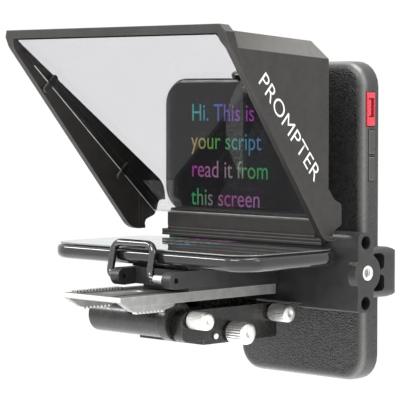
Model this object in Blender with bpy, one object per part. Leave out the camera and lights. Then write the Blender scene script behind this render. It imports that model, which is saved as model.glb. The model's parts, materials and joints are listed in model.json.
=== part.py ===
"""Smartphone teleprompter: hood with beam splitter, clamp, sliding plate and two phones.

Sizes are in millimetres and are turned into metres where meshes are made.
+X is the right-hand side seen from the talent, +Y points to the camera, +Z is up.
The origin is on the underside of the clamp, where the tripod screws on.
"""
from math import cos, pi, radians, sin, sqrt, tan

import bmesh
import bpy
from mathutils import Vector

MM = 0.001
GAP = 0.3                     # clearance between neighbouring pieces
ROOT2 = sqrt(2.0)

# hood: inner faces at three depths, straight between them; the rear part tapers steeply
# each row is depth, half width, half roof width, shoulder height, roof height
HOOD_STATIONS = (
    (-61.0, 68.9, 68.0, 133.0, 140.3),
    (17.0, 60.95, 52.0, 128.3, 136.5),
    (32.0, 47.45, 37.0, 127.4, 135.8),
)
HOOD_FRONT = -63.0
HOOD_BEND = HOOD_STATIONS[1][0]
HOOD_REAR = HOOD_STATIONS[2][0]
HOOD_FAIRING = (-48.0, -32.0, -10.0)   # more depths where the twisted chamfers are faired
HOOD_WALL = 1.8
SHOULDER_STEP = 0.7           # how far the inner chamfer sits inside the outer one
RIM_PROUD = 1.3
TAB_TOP = 70.5                # the steep rear part starts above this height
LENS_X, LENS_Z = 0.0, 96.5    # axis of the round opening
LENS_BORE = 29.4

# beam splitter: a 45 degree plane through its lower front edge
GLASS_Y, GLASS_Z = 26.2, 55.2
GLASS_THICK = 2.0
GLASS_TOP = 137.7
GLASS_CORNER = 107.0          # how far up the pane its corners start
GLASS_SIDE_GAP = 0.35
GLASS_CORNER_GAP = 2.0

# cross bar
BAR_LOW = (-51.0, 28.0, 14.3)
BAR_HIGH = (71.0, 38.6, 50.4)
BOSS_Y, BOSS_Z, BOSS_R = 34.6, 32.0, 8.6
INSERT_R, INSERT_LENGTH = 3.5, 6.5
END_BORE_Y, END_BORE_R = 33.2, 3.1
END_BORE_ZS = (45.8, 18.4)
ROD_Y, ROD_R = 35.0, 2.0
ROD_ZS = {"upper": 38.5, "lower": 23.5}
POCKET_X = (-49.0, -12.0)     # recess of the left jaw, open to the rear
POCKET_Z = (19.0, 43.0)
POCKET_Y = 31.2

# phones
CASE_LOW = (-22.0, 47.0, -20.4)
CASE_HIGH = (56.6, 59.0, 127.8)
CASE_WALL = 1.8
DISPLAY_LOW = (-65.5, -38.9, 35.7)
DISPLAY_HIGH = (64.5, 27.0, 43.3)

# bail: wire loop that stops the display phone, hinged along X
BAIL_Y, BAIL_Z = -43.0, 30.6
BAIL_LEFT, BAIL_RIGHT = -16.4, 9.7
BAIL_HEIGHT = 15.2
BAIL_LEAN = 3.0 / 14.9
WIRE_R = 1.75

# sliding plate and clamp
PLATE_LEFT, PLATE_RIGHT = -18.0, 20.0
PLATE_FRONT, PLATE_REAR = -70.0, 27.5
PLATE_Z = (19.9, 24.4)
CLAMP_X = (-20.0, 22.0)
CLAMP_Y = (-21.0, 27.0)
CLAMP_TOP = 16.0
TUBE_Y, TUBE_Z, TUBE_R = -30.5, 10.8, 7.9
TUBE_X = (-36.5, 15.8)


# ---------------------------------------------------------------- materials

PALETTE = {
    "hood_black": ((0.035, 0.034, 0.033), 0.5, 0.0),
    "bar_black": ((0.04, 0.04, 0.042), 0.42, 0.1),
    "clamp_black": ((0.02, 0.02, 0.021), 0.32, 0.3),
    "plate_grey": ((0.5, 0.5, 0.5), 0.45, 0.9),
    "nickel": ((0.82, 0.82, 0.8), 0.22, 1.0),
    "wire_chrome": ((0.7, 0.7, 0.7), 0.08, 1.0),
    "spring_steel": ((0.55, 0.55, 0.55), 0.3, 1.0),
    "gib_brass": ((0.7, 0.52, 0.25), 0.3, 1.0),
    "rubber_black": ((0.02, 0.02, 0.02), 0.8, 0.0),
    "splitter_glass": ((0.75, 0.76, 0.78), 0.03, 0.0),
    "screen_glass": ((0.01, 0.01, 0.012), 0.05, 0.0),
    "phone_black": ((0.02, 0.02, 0.022), 0.12, 0.4),
    "case_leather": ((0.025, 0.025, 0.026), 0.55, 0.0),
    "key_grey": ((0.3, 0.3, 0.29), 0.3, 0.8),
    "accent_red": ((0.75, 0.03, 0.07), 0.3, 0.0),
    "lens_glass": ((0.01, 0.01, 0.02), 0.03, 0.0),
}


def material(name):
    """The named Principled material, made on first use."""
    found = bpy.data.materials.get(name)
    if found:
        return found
    colour, roughness, metallic = PALETTE[name]
    made = bpy.data.materials.new(name)
    made.use_nodes = True
    shader = made.node_tree.nodes["Principled BSDF"]
    shader.inputs["Base Color"].default_value = (*colour, 1.0)
    shader.inputs["Roughness"].default_value = roughness
    shader.inputs["Metallic"].default_value = metallic
    return made


# ---------------------------------------------------------------- outlines

def arc(centre, radius, start, end, steps):
    """Points on an arc in degrees, both ends included."""
    angles = [radians(start + (end - start) * i / steps) for i in range(steps + 1)]
    return [(centre[0] + radius * cos(a), centre[1] + radius * sin(a)) for a in angles]


def circle(centre, radius, steps):
    """Points of a whole circle."""
    return arc(centre, radius, 0.0, 360.0, steps)[:-1]


def fillet(before, corner, after, radius, steps):
    """Points that round one corner of an outline or a path."""
    here = Vector(corner)
    back = (Vector(before) - here).normalized()
    onward = (Vector(after) - here).normalized()
    half = back.angle(onward) / 2.0
    reach = radius / tan(half)
    centre = here + (back + onward).normalized() * (radius / sin(half))
    start = here + back * reach - centre
    end = here + onward * reach - centre
    turn = start.angle(end)
    points = []
    for i in range(steps + 1):
        t = i / steps
        spoke = start * (sin((1 - t) * turn) / sin(turn)) + end * (sin(t * turn) / sin(turn))
        points.append(tuple(centre + spoke))
    return points


def rounded(corners, steps=4, closed=True):
    """An outline from (x, y, radius) corners; a radius of 0 keeps the corner sharp."""
    points = []
    count = len(corners)
    for i, (x, y, radius) in enumerate(corners):
        at_end = not closed and i in (0, count - 1)
        if radius == 0 or at_end:
            points.append((x, y))
            continue
        before = corners[i - 1][:2]
        after = corners[(i + 1) % count][:2]
        points += fillet(before, (x, y), after, radius, steps)
    return points


def rounded_rectangle(low, high, radius, steps=4):
    """A rectangle with equal round corners."""
    corners = [(low[0], low[1]), (high[0], low[1]), (high[0], high[1]), (low[0], high[1])]
    return rounded([(x, y, radius) for x, y in corners], steps)


# ---------------------------------------------------------------- solids

def place(axis, u, v, w):
    """A point from its two outline coordinates and its position along the axis."""
    if axis == "X":
        return (w, u, v)
    if axis == "Y":
        return (u, w, v)
    return (u, v, w)


def finish(name, mesh, finish_name, pivot=(0.0, 0.0, 0.0)):
    """Turn a bmesh in millimetres into an object whose origin is at the pivot."""
    bmesh.ops.recalc_face_normals(mesh, faces=mesh.faces)
    bmesh.ops.translate(mesh, verts=mesh.verts, vec=-Vector(pivot))
    bmesh.ops.scale(mesh, verts=mesh.verts, vec=(MM, MM, MM))
    data = bpy.data.meshes.new(name)
    mesh.to_mesh(data)
    mesh.free()
    data.shade_smooth()
    data.set_sharp_from_angle(angle=radians(32.0))
    made = bpy.data.objects.new(name, data)
    made.location = Vector(pivot) * MM
    bpy.context.scene.collection.objects.link(made)
    if finish_name:
        data.materials.append(material(finish_name))
    return made


def loft(name, loops, finish_name, pivot=(0.0, 0.0, 0.0), closed=False):
    """Skin a row of point loops; the row's ends are capped unless it closes on itself."""
    mesh = bmesh.new()
    rings = [[mesh.verts.new(point) for point in loop] for loop in loops]
    pairs = list(zip(rings, rings[1:]))
    if closed:
        pairs.append((rings[-1], rings[0]))
    for first, second in pairs:
        count = len(first)
        for i in range(count):
            j = (i + 1) % count
            mesh.faces.new((first[i], first[j], second[j], second[i]))
    if not closed:
        mesh.faces.new(rings[0])
        mesh.faces.new(rings[-1])
    return finish(name, mesh, finish_name, pivot)


def prism(name, axis, outline, low, high, finish_name, pivot=(0.0, 0.0, 0.0)):
    """An outline pushed along an axis from low to high."""
    loops = [[place(axis, u, v, w) for u, v in outline] for w in (low, high)]
    return loft(name, loops, finish_name, pivot)


def block(name, low, high, finish_name, edge=0.0):
    """A box between two corners, with its edges softened."""
    outline = [(low[0], low[1]), (high[0], low[1]), (high[0], high[1]), (low[0], high[1])]
    made = prism(name, "Z", outline, low[2], high[2], finish_name)
    if edge:
        soften(made, edge)
    return made


def turned(name, axis, centre, profile, finish_name, steps=32, ring=False, pivot=(0.0, 0.0, 0.0)):
    """A (radius, position) profile turned round an axis; a ring's profile closes on itself."""
    loops = []
    for radius, along in profile:
        loops.append([place(axis, u, v, along) for u, v in circle(centre, radius, steps)])
    return loft(name, loops, finish_name, pivot, closed=ring)


def slab(name, axis, low, high, corner, edge_low, edge_high, finish_name):
    """A rounded plate: round corners in plan, and round edges towards low and high."""
    faces = [(low[2], edge_low, 1.0), (high[2], edge_high, -1.0)]
    loops = []
    for level, edge, side in faces:
        stations = [0.0, 30.0, 60.0, 90.0] if edge > 0.6 else [0.0, 90.0]
        rows = []
        for angle in stations:
            inset = edge * (1.0 - sin(radians(angle)))
            rise = edge * (1.0 - cos(radians(angle)))
            plan = rounded_rectangle(
                (low[0] + inset, low[1] + inset), (high[0] - inset, high[1] - inset), corner - inset, 6
            )
            rows.append([place(axis, u, v, level + side * rise) for u, v in plan])
        loops += rows if side > 0 else rows[::-1]
    return loft(name, loops, finish_name)


def sweep(name, path, radii, sides, finish_name, pivot=(0.0, 0.0, 0.0)):
    """A round wire along a path, with a radius for each point."""
    points = [Vector(point) for point in path]
    loops = []
    normal = None
    for i, point in enumerate(points):
        ahead = points[min(i + 1, len(points) - 1)] - points[max(i - 1, 0)]
        ahead.normalize()
        if normal is None:
            normal = ahead.orthogonal().normalized()
        normal = (normal - ahead * normal.dot(ahead)).normalized()
        side = ahead.cross(normal)
        ring = []
        for k in range(sides):
            angle = 2.0 * pi * k / sides
            ring.append(point + (normal * cos(angle) + side * sin(angle)) * radii[i])
        loops.append(ring)
    return loft(name, loops, finish_name, pivot)


# ---------------------------------------------------------------- modifiers

def hide(tool):
    """Mark an object as a tool that shapes another one."""
    tool.hide_render = True
    tool.display_type = "WIRE"


def boolean(target, tool, operation):
    """Cut, join or intersect with another object."""
    modifier = target.modifiers.new(operation.lower(), "BOOLEAN")
    modifier.operation = operation
    modifier.solver = "EXACT"
    modifier.object = tool
    hide(tool)


def cut(target, *tools):
    for tool in tools:
        boolean(target, tool, "DIFFERENCE")


def join(target, *tools):
    for tool in tools:
        boolean(target, tool, "UNION")


def keep(target, tool):
    boolean(target, tool, "INTERSECT")


def soften(target, width, segments=1):
    """Bevel the edges that turn by more than 40 degrees."""
    modifier = target.modifiers.new("edges", "BEVEL")
    modifier.width = width * MM
    modifier.segments = segments
    modifier.limit_method = "ANGLE"
    modifier.angle_limit = radians(40.0)


def drill(target, axis, centre, radius, low, high, steps=24):
    """A round hole in the target."""
    tool = turned(target.name + "_drill", axis, centre, [(radius, low), (radius, high)], None, steps)
    cut(target, tool)


def carve(target, low, high):
    """A box-shaped recess in the target."""
    cut(target, block(target.name + "_carve", low, high, None))


# ---------------------------------------------------------------- hood

def taper(y, column, pair=None):
    """A hood dimension at a depth, on the straight lines between the stations."""
    if pair is None:
        pair = 0 if y <= HOOD_BEND else 1
    near, far = HOOD_STATIONS[pair], HOOD_STATIONS[pair + 1]
    share = (y - near[0]) / (far[0] - near[0])
    return near[column] + (far[column] - near[column]) * share


def panel_half(y):
    """Half the width between the flat side panels, carried on past the bend."""
    return taper(y, 1, 0)


def hood_section(y, side, shoulder, roof, crown, floor):
    """The hood's cross-section at a depth, moved out by an amount at each of its faces."""
    half, roof_half, shoulder_z, roof_z = (taper(y, column) for column in (1, 2, 3, 4))
    right = [
        (half + side, floor),
        (half + side, shoulder_z + shoulder),
        (roof_half + roof, roof_z + crown),
    ]
    return [(x, y, z) for x, z in right] + [(-x, y, z) for x, z in right[::-1]]


def hood_block(name, front, rear, side, shoulder, roof, crown, floor, finish_name=None):
    """A solid of the hood's taper from the front, round the bend, to the rear."""
    depths = (front, *HOOD_FAIRING, HOOD_BEND, rear)
    sections = [hood_section(y, side, shoulder, roof, crown, floor) for y in depths]
    return loft(name, sections, finish_name)


def hood_side_outline():
    """The side wall's edge: slanted front, round lobe, then over the bar to the rear."""
    corners = [
        (-62.0, 150.0, 0),
        (-55.9, 134.6, 8.0),
        (12.9, 47.2, 9.0),
        (20.8, 47.4, 0),
        (20.8, 51.0, 0),
        (HOOD_REAR, 51.2, 0),
        (HOOD_REAR, 150.0, 0),
    ]
    return rounded(corners, 6)


def rim_section(y):
    """The cross-section of the rim, whose upper corners are squarer than the hood's."""
    half = panel_half(y) + HOOD_WALL + RIM_PROUD
    top = taper(y, 4, 0)
    right = [(half, 39.0), (half, top - 1.1), (half - 2.3, top + 1.9)]
    return [(x, y, z) for x, z in right] + [(-x, y, z) for x, z in right[::-1]]


def hood_rim():
    """The raised rim round the front opening, broad at the top and narrow lower down."""
    ledge, behind = 20.8, 60.0
    edge = [
        (-62.2, 150.0, 0),
        (-56.1, 134.5, 8.0),
        (12.7, 46.9, 9.2),
        (ledge, 47.1, 0),
        (ledge, 150.0, 0),
    ]
    inner = [
        (-56.3, 150.0, 0),
        (-50.2, 134.6, 4.0),
        (-46.1, 125.0, 0),
        (13.7, 48.8, 7.3),
        (behind, 49.0, 0),
        (behind, 152.0, 0),
    ]
    rim = loft("rim_tool", [rim_section(y) for y in (-64.0, ledge + 3.0)], None)
    keep(rim, prism("rim_edge_tool", "X", rounded(edge, 6), -90, 90, None))
    cut(rim, prism("rim_inside_tool", "X", rounded(inner, 6), -91, 91, None))
    return rim


def hood_low_tool():
    """The room between the flat panels below the steep part, down to the bar."""
    floor = 38.0
    loops = []
    for y in (HOOD_BEND - 0.1, HOOD_REAR - 1.5):
        half = panel_half(y) - 0.1
        loops.append([(-half, y, floor), (half, y, floor), (half, y, TAB_TOP), (-half, y, TAB_TOP)])
    return loft("hood_low_tool", loops, None)


def hood_tab(side):
    """The flat tab at the foot of a side panel, beside the end of the glass."""
    outline = rounded([
        (12.0, 53.0, 0),
        (12.0, 66.0, 0),
        (17.4, TAB_TOP - 0.2, 0),
        (22.0, 65.2, 3.0),
        (27.2, 63.2, 2.0),
        (27.4, 53.7, 2.0),
        (21.3, 51.3, 2.0),
        (20.6, 48.3, 0),
        (16.5, 48.3, 0),
    ], 4)
    loops = []
    for offset in (0.25, HOOD_WALL - 0.25):
        loops.append([(side * (panel_half(y) + offset), y, z) for y, z in outline])
    return loft("hood_tab_tool", loops, None)


def hood_shell():
    """The moulded hood: open to the front and below, with a round hole in its rear wall."""
    shell = hood_block("hood_shell", HOOD_FRONT, HOOD_REAR, HOOD_WALL, 0.0, 0.0, 0.0, 40.0, "hood_black")
    keep(shell, prism("hood_side_tool", "X", hood_side_outline(), -89.5, 89.5, None))
    join(shell, hood_rim())
    step = -SHOULDER_STEP
    inner_rear = HOOD_REAR - HOOD_WALL
    hollow = hood_block("hood_hollow_tool", -70.0, inner_rear, 0.0, step, step, -HOOD_WALL, 38.0)
    cut(shell, hollow, hood_low_tool())
    join(shell, hood_tab(-1.0), hood_tab(1.0))
    drill(shell, "Y", (LENS_X, LENS_Z), 33.2, 25.0, 36.0, 40)
    return shell


def lens_collar():
    """The round collar in the rear wall that the camera looks through."""
    flange, tube = 37.2, 32.8
    profile = [
        (LENS_BORE, 28.3), (flange, 28.3), (flange, 29.9),
        (tube, 29.9), (tube, 39.2), (LENS_BORE, 39.2),
    ]
    turned("lens_collar", "Y", (LENS_X, LENS_Z), profile, "hood_black", 40, ring=True)


def light_seal():
    """A soft ribbed ring between the collar and the back of the camera phone."""
    inner = [(30.6, 46.7), (29.6, 44.4), (30.6, 42.0), (30.6, 39.6)]
    outer = [(34.6, 39.6), (32.6, 41.2), (35.2, 43.0), (32.8, 44.8), (34.8, 46.7)]
    turned("light_seal", "Y", (LENS_X, LENS_Z), inner + outer, "rubber_black", 36, ring=True)


def on_glass(along, depth):
    """(y, z) of a point that far up the glass and that far behind its front face."""
    return (GLASS_Y + (depth - along) / ROOT2, GLASS_Z + (depth + along) / ROOT2)


def room_beside(y, z):
    """Half the room between the flat panels at a point, chamfers included."""
    low = taper(y, 3, 0) - SHOULDER_STEP
    if z <= low:
        return panel_half(y)
    high = taper(y, 4, 0) - HOOD_WALL
    share = (z - low) / (high - low)
    return panel_half(y) + (taper(y, 2, 0) - SHOULDER_STEP - panel_half(y)) * share


def beam_splitter_glass():
    """The half-mirror: a slanted pane with a level top edge and cut upper corners."""
    loops = []
    for depth in (0.0, GLASS_THICK):
        top = (GLASS_TOP - GLASS_Z) * ROOT2 - depth
        right = []
        for along, gap in ((0.0, GLASS_SIDE_GAP), (GLASS_CORNER, GLASS_SIDE_GAP), (top, GLASS_CORNER_GAP)):
            y, z = on_glass(along, depth)
            right.append((room_beside(y, z) - gap, y, z))
        loops.append(right + [(-x, y, z) for x, y, z in right[::-1]])
    loft("beam_splitter_glass", loops, "splitter_glass")


def glass_rail(name, side):
    """A strip on the side wall that the back of the glass lies on."""
    near, far, width = GLASS_THICK + GAP, GLASS_THICK + GAP + 1.8, 3.0
    loops = []
    for along in (3.0, 98.0):
        corners = []
        for inset, depth in ((GAP, near), (GAP, far), (GAP + width, far), (GAP + width, near)):
            y, z = on_glass(along, depth)
            corners.append((side * (panel_half(y) - inset), y, z))
        loops.append(corners)
    loft(name, loops, "hood_black")


def glass_clip(name, side, along):
    """A small clip on the side wall that holds the front face of the glass."""
    tip, tail, half, proud = -GAP, -5.2, 1.7, 1.6
    near_top, far_top = on_glass(along + half, tip), on_glass(along + half, tail)
    far_low, near_low = on_glass(along - half, tail), on_glass(along - half, tip)
    outline = rounded([(*near_top, 0.4), (*far_top, 1.4), (*far_low, 1.4), (*near_low, 0.4)], 3)
    widest = max(y for y, z in outline)
    outer = panel_half(widest) - GAP
    made = prism(name, "X", outline, side * (outer - proud), side * outer, "hood_black")
    soften(made, 0.3)


def hood_foot():
    """The block under the glass: smooth above, fine ridges and wider ends below."""
    front, ridge_top, half_low, half_high = 24.0, 49.0, 52.0, 48.0
    ridge = []
    for i in range(3):
        z = ridge_top - 1.5 * i
        ridge += [(front, z), (front + 0.2, z - 0.25), (front + 0.2, z - 0.75), (front, z - 1.0)]
    rear = [(front, 44.2), (27.6, 44.2), (27.6, 50.75), (29.9, 50.75), (29.9, 56.5), (27.9, 56.5)]
    outline = [(front, 55.0)] + ridge + rear + [(26.2, 54.8), (25.6, 55.4), (front + 0.4, 55.4)]
    foot = prism("hood_foot", "X", outline, -half_low, half_low, "hood_black")
    for side in (-1.0, 1.0):
        x0, x1 = sorted((side * half_high, side * (half_low + 2.0)))
        carve(foot, (x0, front - 2.0, 47.2), (x1, 34.0, 60.0))


def tee(half_neck, half_head, start, split, end, centre, grow=0.0):
    """A T-shaped outline in plan: a neck towards -Y and a wider head."""
    neck, head = half_neck + grow, half_head + grow
    near, far = split - grow, end + grow
    right = [(neck, start), (neck, near), (head, near), (head, far)]
    return [(centre + x, y) for x, y in right] + [(centre - x, y) for x, y in right[::-1]]


HOOK_XS = {"left": -30.0, "right": 30.0}
HOOK_Z = (44.7, 50.0)


def hood_hook(name, x):
    """A T-shaped hook that drops into the bar and holds the hood."""
    prism(name, "Z", tee(3.0, 5.0, 27.9, 29.2, 30.9, x), *HOOK_Z, "bar_black")


def hood():
    hood_shell()
    lens_collar()
    light_seal()
    beam_splitter_glass()
    for name, side in (("left", -1.0), ("right", 1.0)):
        glass_rail("glass_rail_" + name, side)
        glass_clip("glass_clip_upper_" + name, side, 88.0)
        glass_clip("glass_clip_lower_" + name, side, 28.0)
        hood_hook("hood_hook_" + name, HOOK_XS[name])
    hood_foot()


# ---------------------------------------------------------------- cross bar and jaws

def cross_bar():
    """The bar behind the plate: carries the hood, the phone rest and both jaws."""
    (x0, y0, z0), (x1, y1, z1) = BAR_LOW, BAR_HIGH
    section = rounded([(y0, z0, 1.0), (y1, z0, 2.4), (y1, z1, 4.0), (y0, z1, 3.0)], 4)
    bar = prism("cross_bar", "X", section, x0, x1, "bar_black")
    join(bar, turned("boss_tool", "X", (BOSS_Y, BOSS_Z), [(BOSS_R, 66.3), (BOSS_R, x1)], None, 32))
    carve(bar, (-24.0, y0 - 2.0, z0 - 2.0), (36.0, y1 + 2.0, 16.6))
    carve(bar, (POCKET_X[0], POCKET_Y, POCKET_Z[0]), (POCKET_X[1], y1 + 2.0, POCKET_Z[1]))
    for z in ROD_ZS.values():
        drill(bar, "X", (ROD_Y, z), ROD_R + GAP, x0 - 2.0, -8.7, 20)
    for z in END_BORE_ZS:
        drill(bar, "X", (END_BORE_Y, z), END_BORE_R, x1 - 14.0, x1 + 2.0, 24)
    drill(bar, "X", (BOSS_Y, BOSS_Z), INSERT_R + GAP, x1 - INSERT_LENGTH - 0.5, x1 + 2.0, 24)
    for x in HOOK_XS.values():
        outline = tee(3.0, 5.0, y0 - 2.0, 29.2, 30.9, x, GAP)
        cut(bar, prism("hook_slot_tool", "Z", outline, HOOK_Z[0] - GAP, z1 + 2.0, None))
    return bar


def threaded_insert():
    """The nickel insert in the end of the bar, with a few thread ridges inside."""
    end = BAR_HIGH[0]
    crest, root = 2.0, 2.4
    profile = [(INSERT_R, end - INSERT_LENGTH), (INSERT_R, end + 0.1), (root, end + 0.1)]
    for i in range(4):
        near = end - 0.4 - 1.4 * i
        profile += [(crest, near), (root, near - 0.7)]
    profile.append((crest, end - INSERT_LENGTH))
    turned("threaded_insert", "X", (BOSS_Y, BOSS_Z), profile, "nickel", 16, ring=True)


def guide_rods():
    for name, z in ROD_ZS.items():
        profile = [(ROD_R - 0.4, -50.8), (ROD_R, -50.4), (ROD_R, -9.4), (ROD_R - 0.4, -9.0)]
        turned("guide_rod_" + name, "X", (ROD_Y, z), profile, "spring_steel", 16)


def jaw_springs(start, end):
    """Coil springs on the guide rods between the pocket's wall and the left jaw."""
    turns, per_turn, coil_r, wire = 7, 9, 2.95, 0.32
    steps = turns * per_turn
    for name, z in ROD_ZS.items():
        path = []
        for i in range(steps + 1):
            angle = 2.0 * pi * i / per_turn
            x = start + wire + (end - start - 2.0 * wire) * i / steps
            path.append((x, ROD_Y + coil_r * cos(angle), z + coil_r * sin(angle)))
        sweep("jaw_spring_" + name, path, [wire] * len(path), 5, "spring_steel")


JAW_Z = (19.2, 42.6)
JAW_REAR = 64.0


def jaw(name, plan, start):
    """A hooked jaw: plan outline pushed up, rounded from the side, with two windows."""
    made = prism(name, "Z", plan, *JAW_Z, "bar_black")
    low, high = JAW_Z
    side = [(start, low, 0), (JAW_REAR, low, 8.0), (JAW_REAR, high, 8.0), (start, high, 0)]
    keep(made, prism(name + "_side_tool", "X", rounded(side, 6), -80, 80, None))
    xs = [x for x, y in plan]
    front = rounded_rectangle((min(xs), low), (max(xs), high), 5.0, 5)
    keep(made, prism(name + "_front_tool", "Y", front, start - 2.0, JAW_REAR + 2.0, None))
    for bottom, top in ((22.6, 30.2), (32.4, 40.0)):
        window = rounded_rectangle((44.2, bottom), (52.0, top), 2.0, 3)
        cut(made, prism(name + "_window_tool", "X", window, min(xs) - 5.0, max(xs) + 5.0, None))
    return made


def right_jaw():
    """The fixed jaw, screwed to the back of the bar, round the phone's right edge."""
    root, outer, hook = BAR_HIGH[1] + GAP, 66.0, 52.5
    face = CASE_HIGH[0] + 1.6
    lip = CASE_HIGH[1] + 0.5
    corner = rounded([(outer, root, 0), (outer, JAW_REAR, 7.0), (hook, JAW_REAR, 2.0), (hook, lip, 0)], 5)
    jaw("right_jaw", [(face, root)] + corner + [(face, lip)], root)
    block("right_jaw_pad", (face - 1.3, 44.5, 22.0), (face - 0.3, 58.6, 41.5), "rubber_black", 0.3)


def left_jaw():
    """The sprung jaw: a block on the guide rods, and a hook round the phone's left edge."""
    start, hook = POCKET_Y + 0.4, -18.0
    face = CASE_LOW[0] - 1.6
    lip = CASE_HIGH[1] + 0.5
    tail = face - 9.4
    corner = rounded([(hook, lip, 0), (hook, JAW_REAR, 2.0), (tail, JAW_REAR, 7.0), (tail, start, 0)], 5)
    made = jaw("left_jaw", [(face, start), (face, lip)] + corner, start)
    for z in ROD_ZS.values():
        drill(made, "X", (ROD_Y, z), ROD_R + GAP, tail - 2.0, face + 2.0, 20)
    block("left_jaw_pad", (face + 0.3, 44.5, 22.0), (face + 1.3, 58.6, 41.5), "rubber_black", 0.3)
    jaw_springs(POCKET_X[0] + GAP, tail - GAP)


# ---------------------------------------------------------------- phone rest and bail

def phone_rest():
    """The seat under the display phone, with the two lugs that carry the bail."""
    top = 34.5
    plan = [(-12, -36), (27, -36), (27, -18), (22, -14), (22, 27.7), (-8, 27.7), (-8, -14), (-12, -18)]
    rest = prism("phone_rest", "Z", plan, 27.0, top, "bar_black")
    join(rest, block("rest_base_tool", (-7.9, -30.0, 24.7), (21.9, 27.6, 27.5), None))
    lug_r = 3.9
    lug = [(-32.0, 34.4)] + arc((BAIL_Y, BAIL_Z), lug_r, 90.0, 270.0, 10) + [(-32.0, 27.2)]
    for low, high in ((-11.9, -6.6), (21.2, 26.9)):
        join(rest, prism("lug_tool", "X", lug, low, high, None))
    drill(rest, "X", (BAIL_Y, BAIL_Z), 1.4, -13.0, -5.0, 16)
    drill(rest, "X", (BAIL_Y, BAIL_Z), 1.4, 20.0, 28.0, 16)
    block("rest_pad_left", (-11.0, -34.0, top + GAP), (-2.0, -19.0, 35.4), "rubber_black")
    block("rest_pad_right", (16.0, -34.0, top + GAP), (26.0, -19.0, 35.4), "rubber_black")
    block("rest_pad_rear", (-6.0, 6.0, top + GAP), (20.0, 20.0, 35.4), "rubber_black")


def bail():
    """The chrome wire loop; both its feet point to the right and lie on the hinge axis."""
    thin, start, end = 1.1, -7.4, 25.6
    shape = [
        (start, 0.0, 0), (BAIL_LEFT, 0.0, 3.2), (BAIL_LEFT, BAIL_HEIGHT, 4.2),
        (BAIL_RIGHT, BAIL_HEIGHT, 4.2), (BAIL_RIGHT, 0.0, 3.2), (end, 0.0, 0),
    ]
    bent = rounded(shape, 6, closed=False)
    neck_left, neck_right = -12.4, 13.0
    flat = [bent[0], (neck_left + 0.05, 0.0), (neck_left, 0.0)] + bent[1:-1]
    flat += [(neck_right, 0.0), (neck_right + 0.05, 0.0), bent[-1]]
    radii = [thin, thin, WIRE_R] + [WIRE_R] * (len(bent) - 2) + [WIRE_R, thin, thin]
    rise = Vector((0.0, BAIL_LEAN, 1.0)).normalized()
    pivot = Vector((0.0, BAIL_Y, BAIL_Z))
    path = [pivot + Vector((x, 0.0, 0.0)) + rise * up for x, up in flat]
    sweep("bail_wire", path, radii, 10, "wire_chrome", tuple(pivot))
    profile = [(1.35, 13.4), (1.75, 13.4)]
    for i in range(6):
        profile += [(1.95, 13.9 + 1.15 * i), (1.7, 14.45 + 1.15 * i)]
    profile += [(1.75, 20.8), (1.35, 20.8)]
    turned("bail_thread", "X", (BAIL_Y, BAIL_Z), profile, "nickel", 12, ring=True, pivot=tuple(pivot))


# ---------------------------------------------------------------- plate

def plate_outline():
    """The plate in plan: teeth along its left edge and a flare at its rear end."""
    pitch, depth, teeth = 2.0, 0.7, 30
    left = []
    for i in range(teeth):
        y = -8.0 - pitch * i
        left += [(PLATE_LEFT, y), (PLATE_LEFT + depth, y - pitch / 2.0)]
    right = [(PLATE_LEFT, PLATE_FRONT), (PLATE_RIGHT, PLATE_FRONT), (PLATE_RIGHT, 21.0)]
    return left + right + [(PLATE_RIGHT + 0.8, PLATE_REAR), (PLATE_LEFT, PLATE_REAR)]


def plate_nose():
    """The thick front end of the plate: a sloping face, then toothed lower edges."""
    low, high, pitch, teeth = 16.5, 20.5, 2.2, 8
    outline = [(-69.6, high), (-68.9, 19.2), (-60.8, low + 0.9)]
    for i in range(teeth):
        y = -60.2 + pitch * i
        outline += [(y, low + 0.9), (y + 0.4, low), (y + 1.3, low), (y + 1.7, low + 0.9)]
    outline += [(-37.8, 18.6), (-36.6, high)]
    return prism("nose_tool", "X", outline, PLATE_LEFT + 1.2, PLATE_RIGHT - 0.1, None)


def dovetail_plate():
    low, high = PLATE_Z
    plate = prism("dovetail_plate", "Z", plate_outline(), low, high, "plate_grey")
    join(plate, plate_nose())
    slope = [(-72.0, 23.65), (-60.0, 16.15), (-60.0, 14.0), (-72.0, 14.0)]
    cut(plate, prism("slope_tool", "X", slope, PLATE_LEFT - 2.0, PLATE_RIGHT + 2.0, None))
    rail = 3.2
    carve(plate, (PLATE_LEFT + rail, -74.0, 10.0), (PLATE_RIGHT - rail, -36.3, 21.9))
    for left, right in ((-12.0, -7.0), (9.0, 14.0)):
        carve(plate, (left, -67.0, high - 1.0), (right, 26.0, high + 2.0))
    cut(plate, prism("slot_tool", "Z", rounded_rectangle((-2.2, -62.0), (4.2, -40.0), 3.1, 6), 15, 26, None))
    for y in TONGUE_SCREW_YS.values():
        drill(plate, "Z", (1.0, y), 1.7, low - 2.0, high + 2.0, 20)
        drill(plate, "Z", (1.0, y), 3.3, high - 2.0, high + 2.0, 20)
    for name, left in (("left", -11.7), ("right", 9.3)):
        low_corner, high_corner = (left, -66.7, high - 0.7), (left + 4.4, 25.7, high - 0.05)
        block("plate_inlay_" + name, low_corner, high_corner, "rubber_black")


TONGUE_SCREW_YS = {"front": 4.0, "rear": 20.0}


def plate_tongue():
    """The T-shaped tongue under the plate, which runs in the clamp's slot."""
    outline = [(-8, 19.6), (10, 19.6), (10, 13), (13, 13), (13, 10), (-11, 10), (-11, 13), (-8, 13)]
    tongue = prism("plate_tongue", "Y", outline, 0.0, 26.0, "clamp_black")
    for name, y in TONGUE_SCREW_YS.items():
        drill(tongue, "Z", (1.0, y), 1.7, 13.6, 21.0, 20)
        profile = [(1.4, 14.0), (1.4, 22.75), (2.9, 22.75), (3.0, 24.0), (2.6, 24.25)]
        screw = turned("tongue_screw_" + name, "Z", (1.0, y), profile, "nickel", 20)
        hexagon = circle((1.0, y), 1.5, 6)
        cut(screw, prism("hex_tool", "Z", hexagon, 23.2, 26.0, None))


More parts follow.
